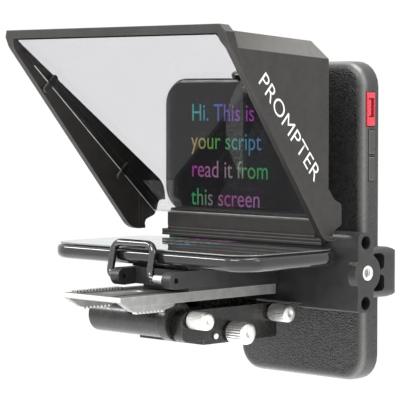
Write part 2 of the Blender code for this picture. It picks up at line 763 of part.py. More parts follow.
# ---------------------------------------------------------------- clamp

THUMBSCREWS = {
    "front": (-29.6, 12.0, 4.0, 11.0, 9.5),
    "lock": (-3.4, 4.6, 5.1, 10.4, 12.0),
    "rear": (23.0, 11.7, 4.0, 11.3, 15.6),
}


def clamp_body():
    """The clamp's body: slotted block, with a cheek in front for the end of the tube."""
    (x0, x1), (y0, y1) = CLAMP_X, CLAMP_Y
    side = rounded([(y0, 0, 0), (y1, 0, 1.5), (y1, CLAMP_TOP, 1.5), (y0, CLAMP_TOP, 0)], 3)
    body = prism("clamp_body", "X", side, x0, x1, "clamp_black")
    cheek = rounded([(-35.0, 2.0, 4.0), (-19.0, 2.0, 0), (-19.0, CLAMP_TOP, 0), (-35.0, CLAMP_TOP, 6.0)], 5)
    join(body, prism("cheek_tool", "X", cheek, TUBE_X[1] + 0.4, x1, None))
    slot = [
        (-8.3, 18.0), (10.3, 18.0), (10.3, 13.3), (15.2, 13.3),
        (15.2, 9.7), (-11.3, 9.7), (-11.3, 13.3), (-8.3, 13.3),
    ]
    cut(body, prism("slot_tool", "Y", slot, y0 + 1.0, y1 + 2.0, None))
    for y, z, head_r, _, tip in THUMBSCREWS.values():
        drill(body, "X", (y, z), shank_radius(head_r) + GAP, tip - 0.4, x1 + 2.0, 20)
    drill(body, "X", (-14.0, 3.6), 1.2, 17.0, x1 + 2.0, 16)
    drill(body, "Z", (1.0, 14.0), 5.1, -2.0, 6.4, 28)
    drill(body, "Z", (1.0, -12.0), 2.2, -2.0, 5.0, 20)
    profile = [(3.0, 0.1), (4.5, 0.1), (4.8, 0.4), (4.8, 6.1), (3.0, 6.1)]
    turned("tripod_bush", "Z", (1.0, 14.0), profile, "gib_brass", 28, ring=True)
    block("gib_strip", (13.4, -20.0, 10.0), (14.9, 26.0, 13.0), "gib_brass")


def shank_radius(head_r):
    return 1.8 if head_r > 4.5 else 1.5


def thumbscrew(name, y, z, head_r, head_length, tip):
    """A screw along X with a knurled head; every other point of the head is a groove."""
    start, ribs = CLAMP_X[1] + 1.0, 14
    shank = shank_radius(head_r)
    stations = [
        (shank, tip, 0.0), (shank, start - 0.6, 0.0), (head_r * 0.72, start - 0.6, 0.0),
        (head_r * 0.72, start, 0.0), (head_r * 0.94, start, 0.0), (head_r, start + 0.5, 0.35),
        (head_r, start + head_length - 0.9, 0.35), (head_r * 0.86, start + head_length, 0.0),
    ]
    loops = []
    for radius, along, groove in stations:
        ring = []
        for k in range(2 * ribs):
            angle = pi * k / ribs
            reach = radius - groove * (k % 2)
            ring.append((along, y + reach * cos(angle), z + reach * sin(angle)))
        loops.append(ring)
    loft("thumbscrew_" + name, loops, "nickel", pivot=(0.0, y, z))


def safety_screw():
    profile = [(0.9, 17.5), (0.9, 22.3), (1.45, 22.3), (1.45, 23.0), (1.1, 23.4)]
    turned("safety_screw", "X", (-14.0, 3.6), profile, "nickel", 16)


def cross_tube():
    """The side tube, open at its left end, with its collar and its set screw."""
    left, right = TUBE_X
    axis = (TUBE_Y, TUBE_Z)
    profile = [(TUBE_R - 0.4, left), (TUBE_R, left + 0.4), (TUBE_R, right)]
    tube = turned("cross_tube", "X", axis, profile, "clamp_black", 32)
    drill(tube, "X", axis, 6.4, left - 2.0, 8.0, 24)
    y, z, head_r = THUMBSCREWS["front"][:3]
    drill(tube, "X", (y, z), shank_radius(head_r) + GAP, 7.0, right + 2.0, 16)
    drill(tube, "Z", (-32.5, TUBE_Y), 2.1, 15.0, 22.0, 16)
    collar = [(8.2, 9.8), (8.8, 9.8), (9.1, 10.2), (9.1, 15.4), (8.8, right), (8.2, right)]
    turned("tube_collar", "X", axis, collar, "clamp_black", 32, ring=True)
    screw = [(1.8, 16.9), (1.8, 19.2), (1.4, 19.5)]
    turned("tube_end_screw", "Z", (-32.5, TUBE_Y), screw, "nickel", 16)


# ---------------------------------------------------------------- phones

def display_phone():
    """The phone that lies under the glass, screen up."""
    (x0, y0, z0), (x1, y1, z1) = DISPLAY_LOW, DISPLAY_HIGH
    corner, edge = 13.0, 1.6
    body = slab(
        "display_phone_body", "Z", (x0, y0, z0), (x1, y1, z1 - 1.0), corner, 2.6, 1.9, "phone_black"
    )
    slab(
        "display_screen", "Z", (x0 + edge, y0 + edge, z1 - 0.7), (x1 - edge, y1 - edge, z1),
        corner - edge, 0.0, 0.35, "screen_glass"
    )
    for name, low, high in (("power_button", 20.0, 29.0), ("volume_key", -30.0, -14.0)):
        carve(body, (low - GAP, y1 - 1.4, 38.0), (high + GAP, y1 + 2.0, 40.8))
        block("display_" + name, (low, y1 - 0.7, 38.3), (high, y1 + 0.45, 40.5), "key_grey", 0.3)
    middle = (y0 + y1) / 2.0
    socket = rounded_rectangle((middle - 4.5, 38.4), (middle + 4.5, 40.8), 1.1, 3)
    cut(body, prism("socket_tool", "X", socket, x0 - 2.0, x0 + 5.0, None))


KEYS = {
    "volume_up": (85.0, 96.0),
    "volume_down": (72.8, 83.8),
}
ISLAND_LOW, ISLAND_HIGH = (-13.0, 92.0), (1.0, 122.0)
LENS_ZS = {"upper": 114.2, "lower": 99.8}


def camera_case():
    """The leather-backed case of the camera phone, open on the screen side."""
    (x0, y0, z0), (x1, y1, z1) = CASE_LOW, CASE_HIGH
    wall = CASE_WALL
    case = slab("camera_phone_case", "Y", (x0, z0, y0), (x1, z1, y1), 12.0, 4.2, 1.0, "case_leather")
    inside = rounded_rectangle((x0 + wall, z0 + wall), (x1 - wall, z1 - wall), 12.0 - wall, 6)
    cut(case, prism("case_hollow_tool", "Y", inside, y0 + 1.4, y1 + 2.0, None))
    grow = 0.6
    hole = rounded_rectangle(
        (ISLAND_LOW[0] - grow, ISLAND_LOW[1] - grow), (ISLAND_HIGH[0] + grow, ISLAND_HIGH[1] + grow), 5.6, 5
    )
    cut(case, prism("island_hole_tool", "Y", hole, y0 - 2.0, y0 + 2.0, None))
    for low, high in KEYS.values():
        carve(case, (x1 - 1.4, 51.3, low - GAP), (x1 + 2.0, 55.7, high + GAP))
    carve(case, (x1 - 1.5, 49.9, 97.7), (x1 + 2.0, 56.1, 113.7))
    carve(case, (x0 - 2.0, 51.3, 83.7), (x0 + 1.4, 55.7, 95.3))
    carve(case, (12.0, 51.5, z0 - 2.0), (22.5, 55.5, z0 + 4.0))
    return case


def camera_keys():
    """The keys of the camera phone, and the red frame round its mute switch."""
    left, right = CASE_LOW[0], CASE_HIGH[0]
    for name, (low, high) in KEYS.items():
        block(name, (right - 0.7, 51.6, low), (right + 0.4, 55.4, high), "key_grey", 0.3)
    block("power_button", (left - 0.4, 51.6, 84.0), (left + 0.7, 55.4, 95.0), "key_grey", 0.3)
    frame = block("accent_frame", (right - 1.2, 50.2, 98.0), (right + 0.4, 55.8, 113.4), "accent_red", 0.3)
    carve(frame, (right - 2.0, 51.3, 102.0), (right + 2.0, 54.9, 110.8))
    block("mute_switch", (right - 1.0, 51.6, 102.5), (right + 0.1, 53.4, 110.3), "accent_red", 0.2)


def camera_phone():
    """The phone that films through the glass, in its case."""
    (x0, y0, z0), (x1, y1, z1) = CASE_LOW, CASE_HIGH
    inset = CASE_WALL + GAP
    low, high = (x0 + inset, z0 + inset, y0 + 1.7), (x1 - inset, z1 - inset, y1 - 1.3)
    slab("camera_phone_body", "Y", low, high, 9.9, 0.5, 0.5, "phone_black")
    glass_low = (low[0] + 0.6, low[1] + 0.6, high[2] + GAP)
    glass_high = (high[0] - 0.6, high[1] - 0.6, y1 - 0.3)
    slab("camera_phone_screen", "Y", glass_low, glass_high, 9.3, 0.0, 0.3, "screen_glass")
    island = slab(
        "camera_island", "Y", (*ISLAND_LOW, y0 + 0.45), (*ISLAND_HIGH, y0 + 1.4), 5.0, 0.3, 0.0, "phone_black"
    )
    centre_x = (ISLAND_LOW[0] + ISLAND_HIGH[0]) / 2.0
    for name, z in LENS_ZS.items():
        drill(island, "Y", (centre_x, z), 5.0, y0 - 1.0, y0 + 2.0, 28)
        profile = [(2.6, y0 + 0.8), (3.6, y0 + 0.55), (3.8, y0 + 0.1), (4.7, y0 + 0.1), (4.7, y0 + 1.4)]
        turned("camera_lens_" + name, "Y", (centre_x, z), profile, "lens_glass", 28)
    camera_case()
    camera_keys()


# ---------------------------------------------------------------- assembly

def clear_scene():
    for item in list(bpy.data.objects):
        bpy.data.objects.remove(item, do_unlink=True)


def build():
    clear_scene()
    hood()
    cross_bar()
    threaded_insert()
    guide_rods()
    right_jaw()
    left_jaw()
    phone_rest()
    bail()
    dovetail_plate()
    plate_tongue()
    clamp_body()
    for name, sizes in THUMBSCREWS.items():
        thumbscrew(name, *sizes)
    safety_screw()
    cross_tube()
    display_phone()
    camera_phone()


build()
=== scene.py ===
import json
from math import cos, pi, radians, sin, sqrt

import bmesh
import bpy
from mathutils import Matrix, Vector


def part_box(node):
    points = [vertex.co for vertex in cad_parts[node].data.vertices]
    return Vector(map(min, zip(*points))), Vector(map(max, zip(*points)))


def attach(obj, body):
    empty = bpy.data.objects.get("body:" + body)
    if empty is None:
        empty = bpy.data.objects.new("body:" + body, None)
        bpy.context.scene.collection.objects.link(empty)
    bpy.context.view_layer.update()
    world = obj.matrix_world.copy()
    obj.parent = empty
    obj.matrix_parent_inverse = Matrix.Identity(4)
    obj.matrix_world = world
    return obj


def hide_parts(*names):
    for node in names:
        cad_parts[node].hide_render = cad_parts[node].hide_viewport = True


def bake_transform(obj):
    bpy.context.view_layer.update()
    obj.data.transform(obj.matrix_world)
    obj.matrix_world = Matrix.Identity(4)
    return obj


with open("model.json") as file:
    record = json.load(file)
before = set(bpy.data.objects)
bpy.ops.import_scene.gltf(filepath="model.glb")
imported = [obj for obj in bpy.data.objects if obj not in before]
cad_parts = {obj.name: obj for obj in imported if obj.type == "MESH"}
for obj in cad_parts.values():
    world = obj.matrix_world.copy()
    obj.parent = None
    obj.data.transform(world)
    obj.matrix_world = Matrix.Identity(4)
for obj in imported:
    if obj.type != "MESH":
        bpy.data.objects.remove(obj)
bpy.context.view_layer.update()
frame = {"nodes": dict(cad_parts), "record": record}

NODES = frame["nodes"]
MM = 0.001  # in metres; sizes below are in millimetres unless a comment says metres


# ---------------------------------------------------------------- finishes

EDGE_SAMPLES = 4
EDGE_TURN = 1.0 / 6.0  # how far an edge's normal turns before the edge mask is full


class Finish:
    """A Principled material whose detail is made of nodes, sized in millimetres of the row frame."""

    def __init__(self, name, colour, roughness, metallic=0.0, **settings):
        self.material = bpy.data.materials.new(name)
        self.material.use_nodes = True
        self.tree = self.material.node_tree
        self.shader = self.tree.nodes["Principled BSDF"]
        self.set("Base Color", (*colour, 1.0))
        self.set("Roughness", roughness)
        self.set("Metallic", metallic)
        for socket, value in settings.items():
            self.set(socket.replace("_", " "), value)
        self.place = self.add("ShaderNodeTexCoord").outputs["Object"]
        self.normal = None

    def set(self, socket, value):
        """A constant, or another node's output."""
        if hasattr(value, "is_output"):
            self.tree.links.new(value, self.shader.inputs[socket])
        else:
            self.shader.inputs[socket].default_value = value

    def add(self, kind, **settings):
        """A new node with these properties."""
        node = self.tree.nodes.new(kind)
        for key, value in settings.items():
            setattr(node, key, value)
        return node

    def feed(self, node, socket, value):
        """Gives a node's input a constant, or another node's output."""
        if hasattr(value, "is_output"):
            self.tree.links.new(value, node.inputs[socket])
        else:
            node.inputs[socket].default_value = value

    def stretched(self, stretch):
        """Object coordinates, scaled along each axis."""
        if stretch == (1, 1, 1):
            return self.place
        mapping = self.add("ShaderNodeMapping")
        self.feed(mapping, "Vector", self.place)
        mapping.inputs["Scale"].default_value = stretch
        return mapping.outputs["Vector"]

    def noise(self, size, detail=3.0, stretch=(1, 1, 1), distortion=0.0):
        node = self.add("ShaderNodeTexNoise")
        self.feed(node, "Vector", self.stretched(stretch))
        node.inputs["Scale"].default_value = 1.0 / (size * MM)
        node.inputs["Detail"].default_value = detail
        node.inputs["Distortion"].default_value = distortion
        return node.outputs["Fac"]

    def cells(self, size):
        """The distance to the edge of the nearest cell."""
        node = self.add("ShaderNodeTexVoronoi", feature="DISTANCE_TO_EDGE")
        self.feed(node, "Vector", self.place)
        node.inputs["Scale"].default_value = 1.0 / (size * MM)
        return node.outputs["Distance"]

    def spread(self, value, low, high, to_low=0.0, to_high=1.0):
        """The value from low to high, remapped to a new range and clamped there."""
        node = self.add("ShaderNodeMapRange")
        self.feed(node, "Value", value)
        limits = ("From Min", low), ("From Max", high), ("To Min", to_low), ("To Max", to_high)
        for socket, number in limits:
            node.inputs[socket].default_value = number
        return node.outputs["Result"]

    def maths(self, operation, a, b):
        node = self.add("ShaderNodeMath", operation=operation)
        self.feed(node, 0, a)
        self.feed(node, 1, b)
        return node.outputs[0]

    def mix(self, factor, a, b):
        """Colour a where the factor is 0, b where it is 1."""
        node = self.add("ShaderNodeMix", data_type="RGBA")
        self.feed(node, "Factor", factor)
        for socket, colour in (("A", a), ("B", b)):
            target = [s for s in node.inputs if s.name == socket and s.type == "RGBA"][0]
            if hasattr(colour, "is_output"):
                self.tree.links.new(colour, target)
            else:
                target.default_value = (*colour, 1.0)
        return [s for s in node.outputs if s.type == "RGBA"][0]

    def ramp(self, value, stops):
        """A colour from (where, colour) stops."""
        node = self.add("ShaderNodeValToRGB")
        self.feed(node, "Fac", value)
        elements = node.color_ramp.elements
        while len(elements) < len(stops):
            elements.new(0.5)
        for element, (where, colour) in zip(elements, stops):
            element.position = where
            element.color = (*colour, 1.0)
        return node.outputs["Color"]

    def bump(self, height, depth, strength=1.0):
        """Adds relief of that depth in millimetres to what is there already."""
        node = self.add("ShaderNodeBump")
        node.inputs["Distance"].default_value = depth * MM
        node.inputs["Strength"].default_value = strength
        self.feed(node, "Height", height)
        if self.normal is not None:
            self.feed(node, "Normal", self.normal)
        self.normal = node.outputs["Normal"]
        self.set("Normal", self.normal)

    def edges(self, radius):
        """1 on the object's edges, 0 on its flats."""
        bevel = self.add("ShaderNodeBevel", samples=EDGE_SAMPLES)
        bevel.inputs["Radius"].default_value = radius * MM
        flat = self.add("ShaderNodeNewGeometry").outputs["Normal"]
        dot = self.add("ShaderNodeVectorMath", operation="DOT_PRODUCT")
        self.tree.links.new(bevel.outputs["Normal"], dot.inputs[0])
        self.tree.links.new(flat, dot.inputs[1])
        turned = self.maths("SUBTRACT", 1.0, dot.outputs["Value"])
        return self.spread(turned, 0.0, EDGE_TURN)

    def faces(self, axis, low, high):
        """1 where the surface faces along the axis, which is x, y or z with a sign."""
        normal = self.add("ShaderNodeTexCoord").outputs["Normal"]
        split = self.add("ShaderNodeSeparateXYZ")
        self.tree.links.new(normal, split.inputs[0])
        value = split.outputs[axis[-1].upper()]
        if axis[0] == "-":
            value = self.maths("MULTIPLY", value, -1.0)
        return self.spread(value, low, high)

    def along(self, axis):
        """One of the object coordinates, in metres."""
        split = self.add("ShaderNodeSeparateXYZ")
        self.tree.links.new(self.place, split.inputs[0])
        return split.outputs[axis]


def moulded_plastic():
    """Fine sandblasted plastic; the faces that look up carry painted light, a little lighter, and the edges
    carry lighter wear with a painted highlight.
    """
    f = Finish("hood_plastic_look", (0.03, 0.029, 0.028), 0.46)
    # worn: lighter edges, partly wear and partly a painted highlight
    worn = f.maths("MULTIPLY", f.edges(0.7), f.spread(f.noise(2.5), 0.35, 0.6, 0.2, 0.6))
    body = f.mix(f.spread(f.noise(9.0, 4.0), 0.35, 0.65), (0.019, 0.0173, 0.016), (0.027, 0.0248, 0.0225))
    # painted light: the faces that look up are made lighter as if lit from above, with a little random
    # variation
    painted_top_light = f.maths("MULTIPLY", f.faces("z", 0.25, 0.7), f.spread(f.noise(1.5, 4.0), 0.3, 0.7, 0.7, 0.9))
    with_painted_top_light = f.mix(painted_top_light, body, (0.112, 0.107, 0.098))
    f.set("Base Color", f.mix(worn, with_painted_top_light, (0.10, 0.095, 0.09)))
    f.set("Roughness", f.spread(f.noise(3.0, 5.0), 0.3, 0.7, 0.42, 0.54))
    f.set("Specular IOR Level", 0.4)
    f.bump(f.noise(0.32, 2.0), 0.022, 0.8)
    f.bump(f.noise(14.0, 2.0), 0.12, 0.35)
    return f.material


def anodised(name, dark, light, edge, roughness):
    """Black anodised metal, lighter along its edges: partly rubbed wear, partly a painted highlight."""
    f = Finish(name, dark, roughness)
    # worn: the edge colour is partly rubbed wear and partly a painted highlight
    worn = f.maths("MULTIPLY", f.edges(0.5), f.spread(f.noise(3.5), 0.3, 0.7, 0.18, 0.6))
    body = f.mix(f.spread(f.noise(6.0, 4.0), 0.35, 0.65), dark, light)
    f.set("Base Color", f.mix(worn, body, edge))
    f.set("Roughness", f.spread(f.noise(3.0, 3.0), 0.3, 0.7, roughness - 0.03, roughness + 0.05))
    f.bump(f.noise(0.35, 2.0), 0.004, 0.35)
    f.bump(f.noise(0.6, 2.0, (0.06, 1, 1)), 0.003, 0.3)
    return f.material


def rubber():
    """Matt black rubber."""
    f = Finish("rubber_look", (0.018, 0.018, 0.018), 0.78)
    patches = f.spread(f.noise(2.0, 4.0), 0.35, 0.7)
    f.set("Base Color", f.mix(patches, (0.015, 0.015, 0.015), (0.032, 0.031, 0.03)))
    f.set("Roughness", f.spread(f.noise(0.8), 0.3, 0.7, 0.7, 0.88))
    f.bump(f.noise(0.3, 3.0), 0.03, 0.8)
    return f.material


def mirror_glass():
    """The beam splitter: part mirror, part clear."""
    f = Finish("splitter_glass_look", (0.45, 0.447, 0.458), 0.0, 1.0, Alpha=0.80)
    f.set("Roughness", f.spread(f.noise(30.0, 5.0), 0.45, 0.75, 0.0, 0.02))
    return f.material


def blasted_plate():
    """Blasted grey metal, with painted light making the faces that look forward brighter and painted shade
    making the top darker.
    """
    f = Finish("plate_metal_look", (0.46, 0.46, 0.45), 0.5, 0.35)
    worn = f.maths("MULTIPLY", f.edges(0.6), f.spread(f.noise(2.0), 0.35, 0.6, 0.3, 1.0))
    body = f.mix(f.spread(f.noise(5.0, 5.0), 0.3, 0.7), (0.27, 0.27, 0.265), (0.37, 0.37, 0.36))
    # painted shade: the faces on top are darkened
    top = f.mix(f.faces("z", 0.5, 0.9), body, (0.15, 0.148, 0.142))
    # painted light: the faces that look forward are made brighter and cream
    front = f.mix(f.faces("-y", 0.75, 0.9), top, (0.70, 0.69, 0.62))
    f.set("Base Color", f.mix(worn, front, (0.62, 0.61, 0.58)))
    f.set("Roughness", f.spread(f.noise(1.5, 4.0), 0.3, 0.7, 0.42, 0.6))
    f.bump(f.noise(0.28, 2.0), 0.02, 0.9)
    return f.material


def plated(name, colour, roughness):
    """Bright metal or plating with fine flaws."""
    f = Finish(name, colour, roughness, 1.0)
    tint = tuple(c * 0.86 for c in colour)
    f.set("Base Color", f.mix(f.spread(f.noise(1.5, 4.0), 0.35, 0.7), colour, tint))
    f.set("Roughness", f.spread(f.noise(0.7, 4.0), 0.3, 0.7, roughness * 0.7, roughness * 1.4))
    f.bump(f.noise(0.35, 3.0), 0.004, 0.6)
    return f.material


def screen_glass():
    """Black cover glass with a faint glow from the display under it."""
    black = (0.004, 0.004, 0.005)
    f = Finish("screen_glass_look", black, 0.03, IOR=1.5, Coat_Weight=0.6, Coat_Roughness=0.02)
    f.set("Roughness", f.spread(f.noise(9.0, 5.0), 0.4, 0.75, 0.03, 0.13))
    f.bump(f.noise(20.0, 2.0), 0.02, 0.3)
    f.set("Emission Color", (0.95, 0.97, 1.0, 1.0))
    f.set("Emission Strength", 0.03)
    return f.material


def polished_frame():
    """The display phone's polished dark frame."""
    f = Finish("phone_frame_look", (0.012, 0.012, 0.013), 0.12, Coat_Weight=0.5, Coat_Roughness=0.04)
    f.set("Roughness", f.spread(f.noise(4.0, 5.0), 0.35, 0.7, 0.08, 0.2))
    f.bump(f.noise(6.0, 2.0), 0.01, 0.3)
    return f.material


def leather():
    """Creased leather on the flat back; the rounded rail and the side are smooth and satin, and the rail
    carries a painted highlight as a lighter band.
    """
    f = Finish("case_leather_look", (0.012, 0.012, 0.0125), 0.5)
    back = f.faces("-y", 0.86, 0.985)
    rounding = f.maths("SUBTRACT", 1.0, f.faces("-y", 0.55, 0.92))
    # where the painted highlight lies: a lighter band on the rounding between back and side
    rail = f.maths("MULTIPLY", f.faces("-y", 0.02, 0.45), rounding)
    pebbles = f.cells(1.3)
    creases = f.noise(1.7, 5.0, distortion=1.6)
    height = f.maths("ADD", f.spread(pebbles, 0.0, 0.35), f.maths("MULTIPLY", creases, 1.5))
    grain = f.mix(f.spread(creases, 0.35, 0.6), (0.006, 0.006, 0.006), (0.050, 0.049, 0.048))
    # the smooth part: dark, and lighter where the painted highlight lies
    satin_side_with_painted_highlight = f.mix(rail, (0.034, 0.033, 0.032), (0.16, 0.157, 0.152))
    f.set("Base Color", f.mix(back, satin_side_with_painted_highlight, grain))
    unevenness = f.spread(creases, 0.3, 0.7, -0.04, 0.08)
    f.set("Roughness", f.maths("ADD", f.spread(back, 0.0, 1.0, 0.28, 0.36), unevenness))
    f.bump(f.maths("MULTIPLY", height, back), 0.26, 1.0)
    f.bump(f.noise(0.25, 2.0), 0.010, 0.5)
    return f.material


def painted_pane_highlight():
    """A painted highlight: the pale colour of the lit ground edge of the glass."""
    f = Finish("pane_edge_highlight_look", (0.80, 0.84, 0.80), 0.25, Coat_Weight=1.0)
    patches = f.spread(f.noise(7.0, 3.0), 0.35, 0.65)
    f.set("Base Color", f.mix(patches, (0.50, 0.56, 0.50), (0.86, 0.90, 0.84)))
    f.bump(f.noise(0.5, 2.0), 0.01, 0.4)
    return f.material


def printed_white():
    """White pad print, slightly worn."""
    f = Finish("pad_print_look", (0.80, 0.80, 0.79), 0.5)
    worn = f.spread(f.noise(1.2, 4.0), 0.5, 0.8)
    f.set("Base Color", f.mix(worn, (0.84, 0.84, 0.83), (0.62, 0.62, 0.61)))
    f.bump(f.noise(0.3, 2.0), 0.008, 0.5)
    return f.material


def satin_key():
    """Dark satin metal with bright edges, a painted highlight, for keys and trims."""
    f = Finish("key_metal_look", (0.09, 0.088, 0.084), 0.32, 0.6)
    f.set("Roughness", f.spread(f.noise(0.8, 4.0), 0.3, 0.7, 0.26, 0.4))
    # painted highlight: the edges are made much lighter
    f.set("Base Color", f.mix(f.edges(0.45), (0.085, 0.083, 0.08), (0.55, 0.54, 0.51)))
    f.bump(f.noise(0.3, 2.0), 0.006, 0.6)
    return f.material


def red_plastic():
    """Glossy red plastic."""
    f = Finish("red_accent_look", (0.62, 0.02, 0.045), 0.25, Coat_Weight=0.4, Coat_Roughness=0.1)
    patches = f.spread(f.noise(1.2, 3.0), 0.35, 0.7)
    f.set("Base Color", f.mix(patches, (0.60, 0.018, 0.04), (0.72, 0.04, 0.07)))
    f.set("Roughness", f.spread(f.noise(0.6), 0.3, 0.7, 0.2, 0.34))
    f.bump(f.noise(0.4), 0.006, 0.5)
    return f.material


def lens():
    """Coated lens glass, whose tint shifts like its coating."""
    f = Finish("lens_glass_look", (0.006, 0.006, 0.010), 0.03, IOR=1.6, Coat_Weight=1.0, Coat_Roughness=0.01)
    layer = f.add("ShaderNodeLayerWeight")
    layer.inputs["Blend"].default_value = 0.4
    f.set("Base Color", f.mix(layer.outputs["Facing"], (0.012, 0.008, 0.035), (0.004, 0.016, 0.02)))
    f.bump(f.noise(3.0), 0.002, 0.3)
    return f.material


def lit_screen(name, colour, glow):
    """A lit symbol on a screen."""
    f = Finish(name, (0.01, 0.01, 0.01), 0.2, Coat_Weight=1.0)
    dimmer = tuple(c * 0.9 for c in colour)
    f.set("Emission Color", f.mix(f.spread(f.noise(2.0, 2.0), 0.3, 0.7), colour, dimmer))
    f.set("Emission Strength", glow)
    return f.material


FINISHES = {
    "hood_plastic": moulded_plastic(),
    # the third colour is the lighter edge colour: partly wear, partly a painted highlight, strongest on the
    # clamp
    "bar_metal": anodised(
        "bar_metal_look", (0.019, 0.0186, 0.018), (0.029, 0.0285, 0.028), (0.10, 0.10, 0.098), 0.40),
    "clamp_metal": anodised(
        "clamp_metal_look", (0.010, 0.0095, 0.009), (0.016, 0.015, 0.014), (0.30, 0.29, 0.275), 0.26),
    "rubber": rubber(),
    "splitter_glass": mirror_glass(),
    "plate_metal": blasted_plate(),
    "nickel": plated("nickel_look", (0.96, 0.95, 0.92), 0.42),
    "chrome_wire": plated("chrome_wire_look", (0.13, 0.13, 0.135), 0.06),
    "spring_steel": plated("spring_steel_look", (0.55, 0.55, 0.54), 0.25),
    "brass": plated("brass_look", (0.72, 0.52, 0.24), 0.3),
    "screen_glass": screen_glass(),
    "phone_frame": polished_frame(),
    "case_leather": leather(),
    "key_metal": satin_key(),
    "red_accent": red_plastic(),
    "lens_glass": lens(),
}
SLOT_OF = {row["node"]: row["material_slot"] for row in frame["record"]["subparts"]}


# ---------------------------------------------------------------- mesh helpers

def box_mm(name):
    """The low and high corners of a node's box, in millimetres."""
    low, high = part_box(name)
    return low / MM, high / MM


def mesh_object(name, mesh, slot, body, *replaced, finish=None):
    """A finished piece of a slot: it rides on a body and stands for some nodes."""
    piece = bpy.data.objects.new(name, mesh)
    bpy.context.scene.collection.objects.link(piece)
    mesh.materials.clear()
    mesh.materials.append(finish or FINISHES[slot])
    if body:
        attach(piece, body)
    if replaced:
        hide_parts(*replaced)
    return piece


def mesh_from(bm, name):
    """Turns a bmesh into a mesh."""
    mesh = bpy.data.meshes.new(name)
    bm.to_mesh(mesh)
    bm.free()
    return mesh


def smooth(mesh, sharp):
    """Smooth shading, except across edges that turn by more than so many degrees."""
    mesh.polygons.foreach_set("use_smooth", [True] * len(mesh.polygons))
    mesh.set_sharp_from_angle(angle=radians(sharp))


def from_loops(name, loops, closed=False, sharp=32.0):
    """A skin over rings of equal length: capped, or closed with the last ring joined to the first."""
    bm = bmesh.new()
    rings = [[bm.verts.new(point) for point in loop] for loop in loops]
    pairs = list(zip(rings, rings[1:]))
    if closed:
        pairs.append((rings[-1], rings[0]))
    for near, far in pairs:
        for k in range(len(near)):
            m = (k + 1) % len(near)
            bm.faces.new((near[k], near[m], far[m], far[k]))
    if not closed:
        bm.faces.new(rings[0][::-1])
        bm.faces.new(rings[-1])
    bmesh.ops.recalc_face_normals(bm, faces=bm.faces)
    mesh = mesh_from(bm, name)
    smooth(mesh, sharp)
    return mesh


def angles(steps):
    """Equal steps round a full turn."""
    return [2.0 * pi * k / steps for k in range(steps)]


def lathed(x, z, profile, steps):
    """Rings round an axis along y through (x, z), one for each (radius, y) of the profile."""
    return [
        [Vector((x + radius * cos(turn), y, z + radius * sin(turn))) * MM for turn in angles(steps)]
        for radius, y in profile
    ]


def round_corners(corners, steps, closed=True):
    """Points along (x, y, radius) corners, the corners replaced by arcs."""
    points = []
    count = len(corners)
    for i, (x, y, radius) in enumerate(corners):
        if radius == 0 or (not closed and i in (0, count - 1)):
            points.append((x, y))
            continue
        here = Vector((x, y))
        back = (Vector(corners[i - 1][:2]) - here).normalized()
        onward = (Vector(corners[(i + 1) % count][:2]) - here).normalized()
        half = back.angle(onward) / 2.0
        centre = here + (back + onward).normalized() * (radius / sin(half))
        start = here + back * (radius * cos(half) / sin(half)) - centre
        end = here + onward * (radius * cos(half) / sin(half)) - centre
        turn = start.angle(end)
        for k in range(steps + 1):
            t = k / steps
            spoke = start * (sin((1 - t) * turn) / sin(turn)) + end * (sin(t * turn) / sin(turn))
            points.append(tuple(centre + spoke))
    return points


def wire(path, radii, sides, closed=False):
    """Rings of points round a path, which make a round wire."""
    points = [Vector(point) for point in path]
    count = len(points)
    loops = []
    normal = None
    for i, point in enumerate(points):
        after = points[(i + 1) % count] if closed else points[min(i + 1, count - 1)]
        ahead = (after - points[i - 1 if closed or i else 0]).normalized()
        if normal is None:
            normal = ahead.orthogonal().normalized()
        normal = (normal - ahead * normal.dot(ahead)).normalized()
        side = ahead.cross(normal)
        spokes = [normal * cos(turn) + side * sin(turn) for turn in angles(sides)]
        loops.append([(point + spoke * radii[i]) * MM for spoke in spokes])
    return loops


CAP_SHARE = 0.70  # a capital letter's share of the font's size


def lettering(words, size, thin=0.0):
    """A flat mesh of words in the built-in font, with strokes thinned by an offset."""
    curve = bpy.data.curves.new("words", "FONT")
    curve.body = words
    curve.size = size
    curve.resolution_u = 4
    curve.offset = thin
    holder = bpy.data.objects.new("words", curve)
    bpy.context.scene.collection.objects.link(holder)
    depsgraph = bpy.context.evaluated_depsgraph_get()
    mesh = bpy.data.meshes.new_from_object(holder.evaluated_get(depsgraph))
    bpy.data.objects.remove(holder)
    return mesh


# ---------------------------------------------------------------- the CAD nodes

WELD_GAP = 0.004
FLAT_ANGLE = 1.0   # faces that turn by less, in degrees, are joined
EDGE_ANGLE = 34.0  # edges that turn by more, in degrees, are rounded
SMALL_EDGE = 0.12  # the width of a rounded edge, where BEVELS has no other


def dress(name, bevel):
    """Gives a CAD node its finish and small rounded edges."""
    node = NODES[name]
    mesh = node.data
    mesh.materials.clear()
    mesh.materials.append(FINISHES[SLOT_OF[name]])
    if mesh.attributes.get("custom_normal"):
        mesh.attributes.remove(mesh.attributes["custom_normal"])
    mesh.polygons.foreach_set("use_smooth", [True] * len(mesh.polygons))
    weld = node.modifiers.new("weld", "WELD")
    weld.merge_threshold = WELD_GAP * MM
    flat = node.modifiers.new("flat", "DECIMATE")
    flat.decimate_type = "DISSOLVE"
    flat.angle_limit = radians(FLAT_ANGLE)
    edge = node.modifiers.new("edge", "BEVEL")
    edge.width = bevel * MM
    edge.segments = 2
    edge.limit_method = "ANGLE"
    edge.angle_limit = radians(EDGE_ANGLE)
    edge.harden_normals = True
    edge.use_clamp_overlap = True
    normals = node.modifiers.new("normals", "WEIGHTED_NORMAL")
    normals.keep_sharp = True


